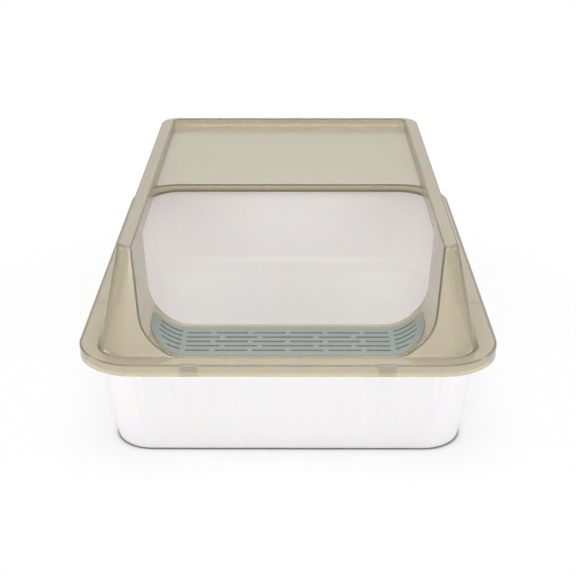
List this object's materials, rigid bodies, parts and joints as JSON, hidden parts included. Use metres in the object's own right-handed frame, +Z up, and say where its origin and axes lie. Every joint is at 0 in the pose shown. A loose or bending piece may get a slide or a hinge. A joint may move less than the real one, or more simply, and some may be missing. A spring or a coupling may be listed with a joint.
{
  "type": "litter tray",
  "caption": "Litter pan with fluted walls, a translucent drop-on hood with a half roof and a low U-shaped entry, and a lift-out step mat in that entry.",
  "frame": {"origin": "middle of the footprint, on the floor", "axes": "+Z up, the entry faces -Y, +X to the right seen from the front"},
  "size_m": [0.4, 0.51, 0.211],
  "materials": {
    "tray_plastic": "smooth white moulded plastic, satin gloss",
    "hood_plastic": "translucent champagne-coloured moulded plastic, glossy",
    "mat_rubber": "soft grey-green moulded rubber, matt"
  },
  "bodies": {
    "tray": {"tray": "tray_plastic"},
    "hood": {"hood": "hood_plastic"},
    "step_mat": {"step_mat": "mat_rubber"}
  },
  "joints": [
    {"name": "hood_lift", "type": "slide", "parent": "tray", "child": "hood", "axis": [0, 0, 1], "range_m": [0, 0.15]},
    {"name": "mat_lift", "type": "slide", "parent": "hood", "child": "step_mat", "axis": [0, 0, 1], "range_m": [0, 0.13]}
  ]
}
